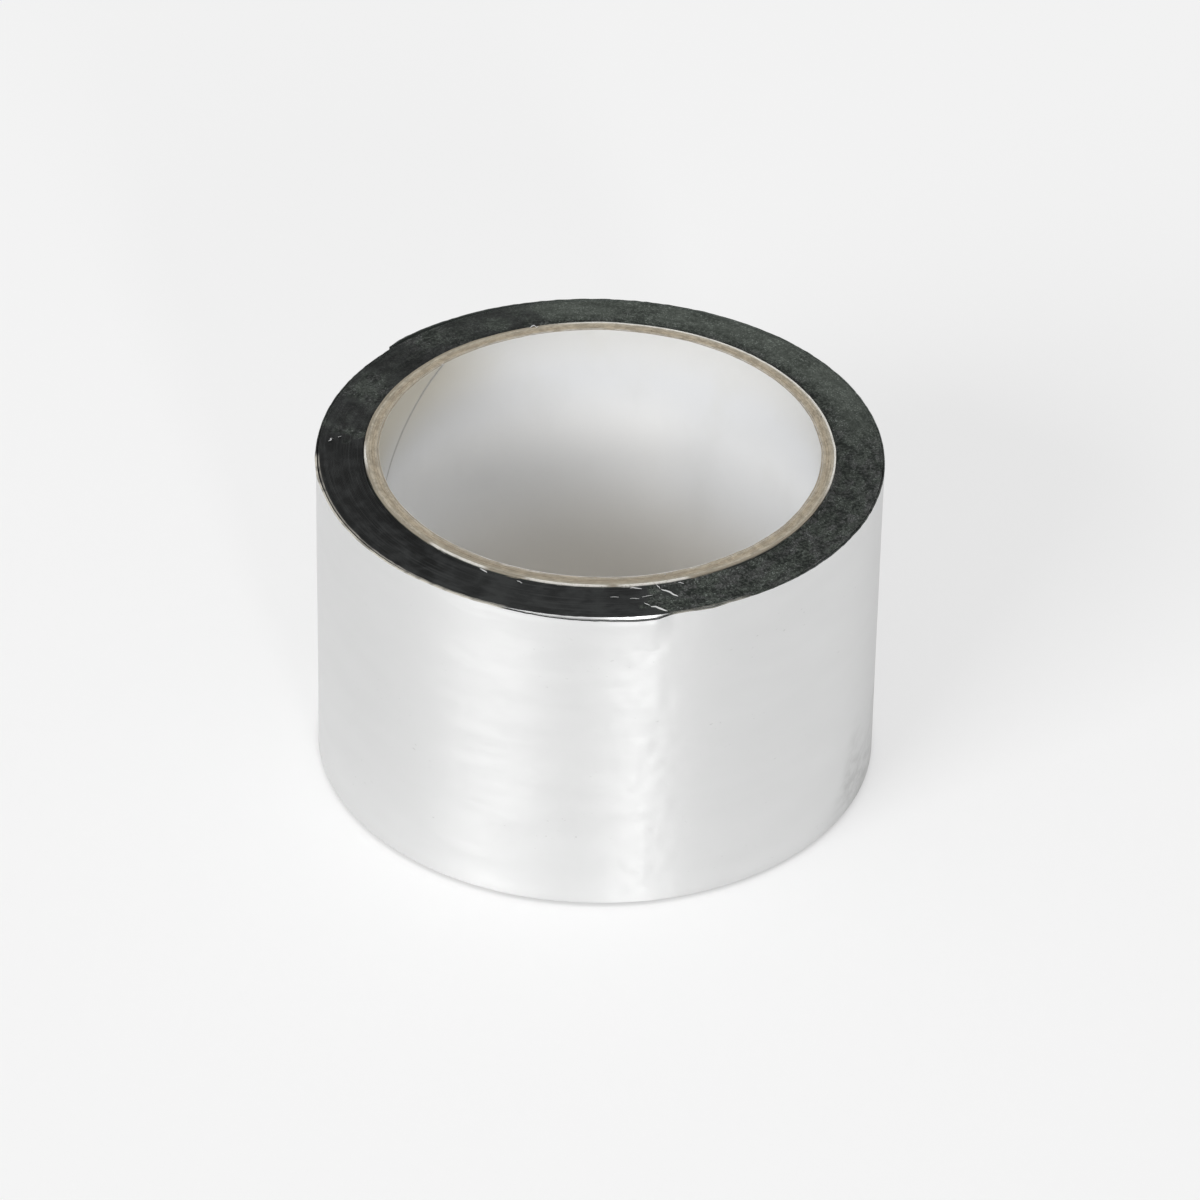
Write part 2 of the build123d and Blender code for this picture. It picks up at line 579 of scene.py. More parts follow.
@dataclass(frozen=True)
class FloorFinish:
    """Matte floor paper, lifted a little for the camera alone, so that it shows pale with its shadow."""

    colour: Colour = (0.84, 0.84, 0.84)
    shown: Colour = (0.5, 0.5, 0.5)  # to the camera alone
    lift: float = 0.46  # light that the camera sees on top of that

    def make(self) -> Material:
        """The finish's material."""
        graph = Graph("floor_paper")
        seen = Value(graph, graph.node("LightPath").outputs["Is Camera Ray"])
        return graph.finish(
            Base_Color=graph.blend(seen, self.colour, self.shown),
            Roughness=1,
            Specular_IOR_Level=0,
            Emission_Color=WHITE,
            Emission_Strength=seen * self.lift,
        )


class Layer(Enum):
    """The strip's two layers."""

    FILM = (0.56, 1, "backing", "foil_film")
    GLUE = (0.04, 0.52, "adhesive", "adhesive")

    def __init__(self, near: float, far: float, node: str, slot: str) -> None:
        """Keeps where it begins and ends across the pitch, its CAD nodes' name and its material slot."""
        self.near, self.far, self.node, self.slot = near, far, node, slot


class Finishes:
    """Every finish of the roll, made once and shared by its pieces."""

    EDGE_TINT = (0.45, 0.395, 0.31)
    BOARD_TINTS = ((0.49, 0.43, 0.335), (0.45, 0.385, 0.29), (0.47, 0.41, 0.315), (0.5, 0.45, 0.36))
    FILM_SLIT = SlitFinish(
        "film_slit", (0.014, 0.0145, 0.0145), (0.112, 0.125, 0.11), (0.022, 0.026, 0.023), 0.42
    )
    GLUE_SLIT = SlitFinish(
        "adhesive_slit", (0.0105, 0.0113, 0.0111), (0.092, 0.104, 0.092), (0.017, 0.021, 0.018), 0.5
    )

    def __init__(self) -> None:
        """Makes the materials."""
        self.sides = {Layer.FILM: FoilFinish().make(), Layer.GLUE: AdhesiveFinish().make()}
        self.slits = {Layer.FILM: self.FILM_SLIT.make(), Layer.GLUE: self.GLUE_SLIT.make()}
        self.liner = LinerFinish().make()
        self.liner_edge = BoardFinish("liner_edge", self.EDGE_TINT).make()
        tints = enumerate(self.BOARD_TINTS, start=1)
        self.boards = [BoardFinish(f"core_board_{number}", tint).make() for number, tint in tints]
        self.wrap = WrapFinish().make()

    def strip(self, layer: Layer) -> list[Material]:
        """The outer side's, the edges' and the inner side's materials of one of the strip's layers."""
        return [self.sides[layer], self.slits[layer], self.sides[layer]]


# The roll


@dataclass(frozen=True)
class Ring:
    """A CAD node's radii and heights, read from its own points."""

    inner: float
    outer: float
    low: float
    high: float

    @staticmethod
    def of(node: str) -> "Ring":
        """The ring that a node fills."""
        mesh = frame["nodes"][node].data
        points = np.empty(len(mesh.vertices) * 3)
        mesh.vertices.foreach_get("co", points)
        points = points.reshape(-1, 3)
        radius = np.hypot(points[:, 0], points[:, 1])
        return Ring(radius.min(), radius.max(), points[:, 2].min(), points[:, 2].max())


@dataclass
class Core:
    """The paper core: six plies, each a strip wound helically with its edges butted."""

    seam_width: float = 0.2 * MM
    seam_climb: float = 32.3  # from level
    liner_seam: float = 137  # angle of the liner's seam at the core's upper end
    seam_stagger: float = 150  # turn from one ply's seam to the next
    chamfer: float = 0.05 * MM  # wear on the corners of each ply's ends
    fray: float = 0.16 * MM  # largest unevenness of the cut ends
    wobble: float = 0.2 * MM  # how far the rim strays from round
    cockle: float = 0.05 * MM  # height of the waves in the liner
    rim: float = 1.6 * MM  # how far from its ends the core is uneven
    smeared: Pair = (196, 340)  # where adhesive smears the wrap's proud side
    white: tuple[Triple, ...] = (  # where the wrap is white, and how gradually
        (183.5, 184.5, 8), (227, 241, 2.5), (254, 271, 2.5), (276, 291, 2), (352, 452, 16)
    )
    columns: int = 560
    row_height: float = 1.4 * MM

    def ply(self, node: str, order: int, materials: list[Material]) -> Object:
        """One ply as a tube that is open along its helical seam.

        Args:
            node: The CAD node that it stands for.
            order: Its place outwards from the liner, from 0.
            materials: The faces' material and the cut ends' material.

        Returns:
            The ply's object.
        """
        ring = Ring.of(node)
        middle = (ring.low + ring.high) / 2
        climb = math.radians(self.seam_climb)
        pitch = 2 * math.pi * Ring.of("core_liner").inner * math.tan(climb)
        close = self.chamfer + np.array([0, 0.12, 0.35]) * MM
        rows = np.linspace(ring.low + close[-1], ring.high - close[-1], round(2 * middle / self.row_height))
        lowest, highest = ring.low + close[:-1], ring.high - close[-2::-1]
        height = np.concatenate([[ring.low], lowest, rows, highest, [ring.high]])[:, None]
        worn = np.zeros_like(height)
        worn[[0, -1]] = self.chamfer
        gap = math.degrees(self.seam_width / math.sin(climb) / ring.outer)
        even = np.linspace(0, 1, self.columns)
        sweep = gap / 2 + (360 - gap) * (even - 0.0008 * np.sin(2 * np.pi * even))
        past_seam = np.concatenate([sweep, sweep[::-1]])
        outside = np.repeat([0, 1], self.columns)
        angle = self.liner_seam + order * self.seam_stagger + 360 * (ring.high - height) / pitch
        angle = angle + past_seam
        arc = np.radians(angle) * POLAR_RADIUS
        radius = ring.inner + (ring.outer - ring.inner) * outside + worn * (1 - 2 * outside)
        near_end = ease(np.minimum(height - ring.low, ring.high - height), self.rim, 0)
        radius = radius - self.wobble * near_end * self.lobes(angle)
        ragged = 0.6 * Ripple(20 + order, 2.2 * MM, 1).at(arc, outside)
        ragged = ragged + 0.4 * Ripple(40 + order, 0.6 * MM, 1).at(arc, outside)
        lift = (worn > 0) * np.sign(middle - height) * self.fray * ragged
        wave = Ripple(7, 17 * MM, 14 * MM).at(arc, height)
        radius = radius + (order == 0) * self.cockle * wave * (1 - outside)
        points = unit(angle) * radius[..., None]
        points[..., 2] = height + lift
        to_seam = np.minimum(past_seam, 360 - past_seam)
        turned = around(angle, 90)
        proud = ease(points[..., 2], ring.high - 0.12 * MM, ring.high - 0.4 * MM)
        # painted shade of the seam's gap: a soft dark band beside the seam, stronger higher up
        seam = ease(to_seam, 1.7, gap / 2) * ease(height, 5 * MM, 60 * MM)
        shaded = 1 - 0.55 * window(turned, 385, 420, 18)
        # painted shade on the liner's upper left
        left = window(turned, 148, 215, 48) * ease(height, 44 * MM, 60 * MM)
        painted_shade_and_top_darkening = np.maximum(left, 0.3 * ease(height, 50 * MM, 61 * MM))
        numbers = {
            "smear": window(turned, *self.smeared, 14) * proud,
            "clean": sum(window(around(angle, 170), *stretch) for stretch in self.white),
            "grime": np.maximum(seam, 0.8 * (worn > 0)),
            # painted light: a lighter band at mid-height, weaker from 25 to 60 degrees
            "fresh": window(height, 22 * MM, 40 * MM, 13 * MM) * shaded,
            # darker board ends at the front; on the liner, painted shade at the upper left and darker paper
            # near the top
            "dull": window(turned, 235, 285, 20) + 0 * height if order else painted_shade_and_top_darkening,
            # painted warm shade, strongest at the foot of the bore
            "brown": ease(height, 34 * MM, 8 * MM) + 0 * angle,
        }
        slots = np.zeros(2 * self.columns, dtype=int)
        made = Sweep(points, slots, 1, stacked(arc, points[..., 2], radius), numbers)
        return made.build(node.replace("core_", "ply_"), materials)

    @staticmethod
    def lobes(angle: Array) -> Array:
        """Smooth seeded unevenness around the rim, from 0 to 1, the same for every ply."""
        rim = unit(angle) * POLAR_RADIUS
        return 0.65 * Ripple(31, 9 * MM).over(rim) + 0.35 * Ripple(32, 2.5 * MM).over(rim)

    def build(self, finishes: Finishes) -> None:
        """Makes all six plies.

        Args:
            finishes: The roll's finishes.
        """
        boards = enumerate(finishes.boards, start=1)
        plies = [
            ("core_liner", [finishes.liner, finishes.liner_edge], "liner_paper"),
            *((f"core_board_{number}", [board, board], "core_board") for number, board in boards),
            ("core_wrap", [finishes.wrap, finishes.wrap], "wrap_paper"),
        ]
        for order, (node, materials, slot) in enumerate(plies):
            seat(self.ply(node, order, materials), node)
        log.info("core: %d plies", len(plies))


@dataclass
class Spool:
    """The path that the strip is wound along, the same as the CAD model's."""

    core: float  # radius of the core that it is wound on
    low: float  # heights of the strip's lower and upper edges
    high: float
    pitch: float = 0.25 * MM
    half_turns: int = 65
    end_angle: float = 138
    free: float = 60  # angle that the free end takes up
    lift: float = 0.8 * MM  # how far the very end stands off the turn below

    @property
    def length(self) -> float:
        """Angle of the whole strip, from the core to the free end."""
        return 180 * self.half_turns

    @property
    def outside(self) -> float:
        """The roll's outer radius."""
        return self.core + self.half_turns * self.pitch / 2

    def angle(self, wound: Array) -> Array:
        """Angle about the axis at which the strip has been wound by this much."""
        return wound + self.end_angle - self.length

    def point(self, wound: Array, offset: Array) -> Array:
        """Level places on the strip.

        Args:
            wound: How far round the strip each place is.
            offset: How far out from the inside of its turn each place is.

        Returns:
            The places, at height 0.
        """
        wound, offset = np.broadcast_arrays(np.asarray(wound, float), np.asarray(offset, float))
        half = np.clip(np.floor(wound / 180), 0, self.half_turns - 1)
        centre = -self.pitch / 4 * unit(self.end_angle + 180 * (half - self.half_turns))
        radius = self.core + self.pitch / 4 + half * self.pitch / 2
        looser = (wound > self.length - self.free) * self.lift / (1 - math.cos(math.radians(self.free)))
        peel = np.full_like(wound, self.end_angle - self.free)
        centre = centre - looser[..., None] * unit(peel)
        return centre + unit(self.angle(wound)) * (radius + looser + offset)[..., None]


@dataclass
class SlitFace:
    """How the cut faces of the wound strip vary around the roll."""

    spool: Spool
    sheen: Pair = (178, 283)  # where the knife left the face smooth
    streaked: Pair = (110, 176)  # where it is streaked, partly torn
    soft: float = 3  # how gradually one kind of face gives way to the next
    lit: Pair = (30, 98)  # where the torn parts catch the light
    flecked: Pair = (150, 174)  # where pale lumps show
    front: Pair = (243, 284)  # where the smooth face is lightened in fine streaks: painted sheen
    notch: Pair = (225, 230)
    dry: tuple[Triple, ...] = ((184, 250, 1), (286, 300, 0.5))  # where its edge is pale, and how pale

    def numbers(self, points: Array, edge: float = 0) -> dict[str, Array]:
        """The material's numbers at these places.

        Args:
            points: The places.
            edge: How far the pale outermost edge shows on this turn, from 0 to 1.

        Returns:
            How torn each is, its painted light with pale flecks, and how pale its edge is, from 0 to 1.
        """
        radius = np.hypot(points[..., 0], points[..., 1])
        angle = np.degrees(np.arctan2(points[..., 1], points[..., 0])) % 360
        across = (radius - self.spool.core) / (self.spool.outside - self.spool.core)
        lumps = Ripple(61, 1.9 * MM).over(points)
        clouds = Ripple(62, 4.5 * MM).over(points)
        stray = angle + 9 * (lumps - 0.5) + 7 * (clouds - 0.5)
        smeared = window(stray, *self.streaked, 8) * (0.75 - 0.65 * ease(clouds, 0.45, 0.75))
        grain = np.clip(1 - window(stray, *self.sheen, self.soft) - smeared, 0, 1)
        # painted highlight: the torn parts lightened towards the back right, more so outwards
        lit = window(around(angle, -60), *self.lit, 38) * ease(across, 0.02, 0.6)
        lit = lit * (0.35 + 0.9 * clouds)
        fleck = 0.6 * window(stray, *self.flecked, 8) * ease(lumps, 0.45, 0.8)
        worn = 0.55 + 0.45 * ease(Ripple(63, 1.6).at(angle), 0.15, 0.45)
        pale = sum(share * window(angle, low, high, 2.5) for low, high, share in self.dry)
        # painted sheen: the smooth front of the face lightened in fine streaks
        front = 0.75 * window(angle, *self.front, 14) * (0.35 + 0.9 * Ripple(64, 2.6).at(angle))
        front = front + 0.6 * window(stray, *self.notch, 3) * ease(lumps, 0.3, 0.7)
        # painted light, with the pale flecks
        bloom = np.clip(lit + fleck + front * (1 - grain), 0, 1)
        return {"grain": grain, "bloom": bloom, "pale": pale * worn * edge}


@dataclass
class WoundTape:
    """The inner turns of tape, as one spiral of film and one of adhesive."""

    spool: Spool
    face: SlitFace
    until: float  # how far round the strip the turns go
    stations: int = 500  # in one turn
    crown: float = 0.03 * MM  # rounding of the strip's cut edges
    recess: float = 0.03 * MM  # how far the adhesive's cut edge lies below the film's
    swell: float = 0.12 * MM  # height of the broad waves across the roll's end
    creep: float = 0.07 * MM  # how far turns stand above or below their neighbours
    chatter: float = 0.17 * MM  # how far an edge varies along its length where the face is torn
    collar: float = 0.22 * MM  # how far the innermost turns stand up beside the core
    flush: Pair = (298, 350)  # where they stand up flush with the core
    flush_rise: float = 0.42 * MM
    near: Pair = (206, 293)  # where they stand up nearly flush, unevenly
    near_rise: float = 0.38 * MM

    def sink(self, points: Array, wound: Array, grain: Array) -> Array:
        """How far the strip's edges lie inside its full width.

        Args:
            points: The places.
            wound: How far round the strip each is.
            grain: How torn the face is there, from 0 to 1.

        Returns:
            The distances, negative beside the core.
        """
        turn, angle = wound / 360, self.spool.angle(wound)
        single = Ripple(52, 0.9, 200).at(turn, angle)
        torn = 0.6 * Ripple(53, 0.75 * MM).over(points) + 0.4 * Ripple(54, 0.55, 0.9).at(turn, angle)
        proud = window(around(angle, 180), *self.flush, 8)
        partly = window(around(angle, 180), *self.near, 12) * (0.7 + 0.3 * Ripple(55, 5).at(angle))
        collar = (self.collar + self.flush_rise * proud + self.near_rise * partly) * fade(turn, 4)
        rough = self.creep * single * (0.3 + 0.3 * grain) + self.chatter * torn * grain
        return self.swell * Ripple(51, 9 * MM).over(points) + rough - collar

    def build(self, finishes: Finishes) -> None:
        """Makes both layers.

        Args:
            finishes: The roll's finishes.
        """
        wound = np.linspace(0, self.until, round(self.until / 360 * self.stations) + 1)[:, None]
        side = np.array([-1, 1, 1, 1, -1, -1])
        corner = np.array([1, 1, 0, 1, 1, 0])
        half = (self.spool.high - self.spool.low) / 2
        for layer in Layer:
            near, far = layer.near * self.spool.pitch, layer.far * self.spool.pitch
            middle = (near + far) / 2
            offsets = np.array([far, far, middle, near, near, middle])
            points = self.spool.point(wound, offsets)
            numbers = self.face.numbers(points)
            drop = corner * self.crown + (self.recess if layer is Layer.GLUE else 0)
            drop = drop + self.sink(points, wound, numbers["grain"])
            points[..., 2] = self.spool.low + half + side * (half - drop)
            place = stacked(np.radians(wound) * self.spool.core, points[..., 2], offsets)
            made = Sweep(points, np.array([0, 1, 1, 0, 1, 1]), 1, place, numbers)
            slit = finishes.slits[layer]
            piece = made.build(f"wound_{layer.name.lower()}", [slit, slit], crease=60)
            seat(piece, f"wound_{layer.node}")
        log.info("wound tape: %.1f turns, %d stations a layer", self.until / 360, len(wound))


@dataclass
class Pucker:
    """A stretch of upper edge where the outermost turn has buckled off the one beneath."""

    start: float = 248  # where it begins to open
    peak: float = 276  # where it is fully open
    stop: float = 285.5  # where it has closed again
    brim: float = 0.72 * MM  # how far the outermost turn's edge flares out past its neighbour's
    brim_depth: float = 0.4 * MM
    belly: float = 0.4 * MM  # how far both turns bulge out, a little below the edge
    belly_depth: float = 1.5 * MM
    sag: float = 0.34 * MM  # how far the flared edge sinks
    sag_depth: float = 0.4 * MM

    def opening(self, angle: Array) -> Array:
        """How open it is at these angles, from 0 to 1."""
        slow = np.clip((angle - self.start) / (self.peak - self.start), 0, 1) ** 0.65
        return slow * ease(angle, self.stop, self.stop - min(4.5, self.stop - self.peak))

    def bulge(self, angle: Array, down: Array) -> Array:
        """How far both turns bulge out at these angles and depths below the edge."""
        depth = np.maximum(down, 0) / self.belly_depth
        return self.belly * self.opening(angle) * (depth * np.exp(1 - depth)) ** 1.5

    def flare(self, angle: Array, down: Array) -> Array:
        """How much further the outermost turn flares out."""
        return self.brim * self.opening(angle) * fade(down, self.brim_depth, 1.2)

    def sunk(self, angle: Array, down: Array) -> Array:
        """How far the outermost turn sinks."""
        return self.sag * self.opening(angle) * fade(down, self.sag_depth)


@dataclass
class OuterSurface:
    """How the outermost turns and the free end stray outwards from the strip's path."""

    spool: Spool
    puckers: tuple[Pucker, ...] = (
        Pucker(),
        Pucker(289, 293, 297.5, brim=0.26 * MM, belly=0.1 * MM, sag=0.14 * MM),
    )
    slack: Pair = (184, 224)  # where the upper edge has come slightly loose
    slack_out: float = 0.15 * MM
    creases: tuple[Triple, ...] = ((248, 12, 0.2), (280, 6, 1))  # middle, half width, knottiness
    wrinkle: float = 0.065 * MM  # height of the small level wrinkles in the creases
    crimped: Pair = (306, 354)  # where the upper edge is finely crinkled
    crimp: float = 0.1 * MM  # height of those crinkles
    wave: float = 0.15 * MM  # height of the broad waves in the rest of the film
    nick: float = 0.12 * MM  # depth of the nicks in the upper edge
    rolled_edge: Pair = (184, 250)  # where the cut edge is rolled outwards
    burr: float = 0.13 * MM  # how far
    shaded_and_rubbed: Pair = (336, 354)  # where the film is rubbed and painted darker with shade, low down
    curl: float = 0.45 * MM  # how far the very end bends back towards the roll
    overlap: float = 12  # how much further than one turn the outermost turn goes

    @property
    def begins(self) -> float:
        """Where the outermost turn begins, in degrees from the core."""
        return self.spool.length - 360 - self.overlap

    def turn(self, wound: Array) -> Array:
        """The places' angles about the axis, from just before the free end on."""
        return around(self.spool.angle(wound), self.spool.end_angle - 30)

    def beneath(self, wound: Array, height: Array) -> Array:
        """How far the turn beneath the outermost one lies out of its path."""
        return sum(pucker.bulge(self.turn(wound), self.spool.high - height) for pucker in self.puckers)

    def stray(self, wound: Array, height: Array) -> Array:
        """How far out of its path the outermost turn lies.

        Args:
            wound: How far round the strip each place is.
            height: Its height.

        Returns:
            The distances outwards, negative only at the very end.
        """
        angle = self.turn(wound)
        arc = np.radians(angle) * self.spool.core
        down = self.spool.high - height
        flutter = 0.88 + 0.24 * Ripple(71, 2.2 * MM).at(arc)
        lip = sum(each.bulge(angle, down) + flutter * each.flare(angle, down) for each in self.puckers)
        loose = window(angle, *self.slack, 12) * (0.55 + 0.8 * Ripple(72, 5 * MM).at(arc))
        slack = self.slack_out * loose * fade(down, 1.3 * MM, 1.3)
        rows = Ripple(73, 7 * MM, 1.5 * MM).at(arc + 0.1 * height, height)
        fine = 1 - np.abs(2 * Ripple(76, 3.2 * MM, 1.1 * MM).at(arc - 0.1 * height, height) - 1)
        knots = Ripple(74, 1.7 * MM, 2 * MM).at(arc, height)
        wrinkles = 0.22 * rows
        for middle, half, knotty in self.creases:
            band = fade(np.abs(angle - middle), half, 2)
            wrinkles = wrinkles + band * ((1 - knotty) * (0.7 * rows + 0.7 * fine) + 1.9 * knotty * knots)
        crinkles = self.crimp * window(angle, *self.crimped, 8)
        crinkles = crinkles * Ripple(82, 0.9 * MM, 1.4 * MM).at(arc, height)
        crinkles = crinkles * (0.12 + 0.88 * fade(down, 2.2 * MM, 1.3))
        waves = self.wave * Ripple(75, 19 * MM, 21 * MM).at(arc, height)
        to_end = np.radians(self.spool.length - wound) * self.spool.core
        settled = ease(wound, self.begins, self.begins + 0.6 * self.overlap)
        out = settled * (lip + slack + self.wrinkle * wrinkles + crinkles + waves)
        return out - self.curl * ease(to_end, 3.5 * MM, 0)

    def rolled(self, wound: Array) -> Array:
        """How far out the cut edge is rolled."""
        angle = self.turn(wound)
        return self.burr * window(angle, *self.rolled_edge, 4) * (0.55 + 0.7 * Ripple(78, 3.4).at(angle))

    def nicked(self, wound: Array, height: Array) -> Array:
        """How far the upper edge is nicked down."""
        nicks = Ripple(79, 0.8 * MM).at(np.radians(wound) * self.spool.core)
        return self.nick * nicks * fade(self.spool.high - height, 0.3 * MM)

    def scuff(self, wound: Array, height: Array) -> Array:
        """How much painted shade and rubbing the film has, from 0 to 1."""
        angle = self.turn(wound)
        clouds = Ripple(77, 7 * MM, 5 * MM).at(np.radians(angle) * self.spool.core, height)
        reach = self.spool.low + (5 + 14 * ease(angle, 326, 348)) * MM
        low = ease(height - 10 * MM * (clouds - 0.5), reach + 5 * MM, reach - 9 * MM)
        return np.clip(window(angle, *self.shaded_and_rubbed, 14) * low * (0.35 + 0.5 * clouds), 0, 1)


@dataclass
class StripPiece:
    """A stretch of one layer of the strip as a thin solid that follows the outer surface."""

    TOP_STEPS = ((9, 0.11 * MM), (10, 0.25 * MM))  # count and size, down from the upper edge

    surface: OuterSurface
    face: SlitFace
    layer: Layer
    start: float
    stop: float
    hidden: bool = False  # whether it is the turn beneath the outermost one
    station: float = 0.5
    rows: int = 86  # equal ones on the outer side, below the finer ones near the upper edge
    back_rows: int = 8  # the same on the inner side
    edge: float = 0.03 * MM  # rounding of the cut edges
    lip: float = 0.25 * MM  # how far down a rolled edge begins
    ragged: float = 0  # how uneven the strip's very end is

    def graded(self, rest: int) -> Array:
        """Heights between the edges, rising, in the finer rows and this many equal ones."""
        low, high = self.surface.spool.low + self.edge, self.surface.spool.high - self.edge
        depths = np.concatenate([[0]] + [np.full(*step) for step in self.TOP_STEPS]).cumsum()
        below = np.linspace(high - depths[-1], low, rest + 1)[1:]
        return np.concatenate([high - depths, below])[::-1]

    def build(self, name: str, materials: list[Material]) -> Object:
        """Makes the stretch.

        Args:
            name: Its piece name.
            materials: The outer side's, the edges' and the inner side's materials.

        Returns:
            The new object.
        """
        surface, spool = self.surface, self.surface.spool
        near, far = self.layer.near * spool.pitch, self.layer.far * spool.pitch
        middle = (near + far) / 2
        up, down = self.graded(self.rows), self.graded(self.back_rows)[::-1]
        heights = np.concatenate([up, [spool.high], down, [spool.low]])
        offsets = np.concatenate([np.full(len(up), far), [middle], np.full(len(down), near), [middle]])
        slots = np.array([0] * (len(up) - 2) + [1, 1, 1] + [2] * (len(down) - 1) + [1, 1])
        count = max(round((self.stop - self.start) / self.station), 2)
        share = np.linspace(0, 1, count + 1)[:, None]
        torn = Ripple(81, 1.1 * MM).at(heights)
        wound = self.start + (self.stop - self.start) * share
        wound = wound - np.degrees(self.ragged * torn / spool.core) * share
        height = np.broadcast_to(heights, wound.shape)
        if self.hidden:
            stray, sunk = surface.beneath(wound, height), 0
        else:
            stray, angle = surface.stray(wound, height), surface.turn(wound)
            sunk = sum(pucker.sunk(angle, spool.high - height) for pucker in surface.puckers)
            if self.layer is Layer.FILM:
                lip = ease(up, up[-1] - self.lip, up[-1])
                over = np.concatenate([lip, [0.5], np.zeros(len(down) + 1)])
                stray = stray + surface.rolled(wound) * over
        points = spool.point(wound, offsets + stray)
        points[..., 2] = height - surface.nicked(wound, height) - sunk
        numbers = self.face.numbers(spool.point(wound, offsets), 0.45 if self.hidden else 1)
        numbers["scuff"] = surface.scuff(wound, height)
        place = stacked(np.radians(wound) * spool.core, height, offsets)
        return Sweep(points, slots, 1, place, numbers).build(name, materials, crease=50)


@dataclass
class Strip:
    """What the strip's outer assemblies share."""

    surface: OuterSurface
    face: SlitFace

    def piece(self, stem: str, layer: Layer, ends: Pair, finishes: Finishes, **sizes: float) -> Object:
        """One layer of the stretch between two places, named after a stem and its layer."""
        strip = StripPiece(self.surface, self.face, layer, *ends, **sizes)
        return strip.build(stem.replace("LAYER", layer.name.lower()), finishes.strip(layer))


@dataclass
class OuterTurns(Strip):
    """The two outermost turns, up to where the free end begins to bend away."""

    start: float  # where the turn beneath begins
    between: float  # where the outermost turn begins
    stop: float

    def build(self, finishes: Finishes) -> None:
        """Makes both turns' layers.

        Args:
            finishes: The roll's finishes.
        """
        under, over = (self.start, self.between), (self.between, self.stop)
        coarse = {"hidden": True, "rows": 6, "back_rows": 6}
        for layer in Layer:
            for stem, ends, sizes in (("second_turn", under, coarse), ("outer_turn", over, {})):
                piece = self.piece(f"{stem}_LAYER", layer, ends, finishes, **sizes)
                seat(piece, f"wound_{layer.node}")
        log.info("outer turns: %.0f degrees", self.stop - self.start)


@dataclass
class FreeEnd(Strip):
    """The strip's last stretch, in short pieces from the middle of one of the frame's links to the next;
    the last rides on the last link.
    """

    links: int  # how many the frame's chain has
    back_rows: int = 60
    ragged: float = 0.25 * MM  # how uneven the cut at the very end is

    def middle(self, number: int) -> float:
        """The middle of a link along the strip; link 0 stands for the roll's last stretch."""
        spool = self.surface.spool
        return spool.length - spool.free + (number - 0.5) * spool.free / self.links

    def stretch(self, number: int, layer: Layer, finishes: Finishes) -> None:
        """Makes the piece that begins in the middle of link number - 1.

        Args:
            number: Its number, from 1 to one more than the links.
            layer: Which of the strip's layers.
            finishes: The roll's finishes.
        """
        spool, last = self.surface.spool, number > self.links
        ends = self.middle(number - 1), spool.length if last else self.middle(number)
        sizes = {"back_rows": self.back_rows, "ragged": self.ragged if last else 0}
        piece = self.piece(f"free_end_LAYER_{number}", layer, ends, finishes, **sizes)
        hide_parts(f"free_end_{layer.node}_{min(number, self.links)}")
        if last:
            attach(piece, f"link_{self.links}")
            return
        from_point, to_point = spool.point(np.array(ends), 0)
        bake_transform(piece)

    def build(self, finishes: Finishes) -> None:
        """Makes every piece of the free end.

        Args:
            finishes: The roll's finishes.
        """
        for number in range(1, self.links + 2):
            for layer in Layer:
                self.stretch(number, layer, finishes)
        log.info("free end: %d links", self.links)


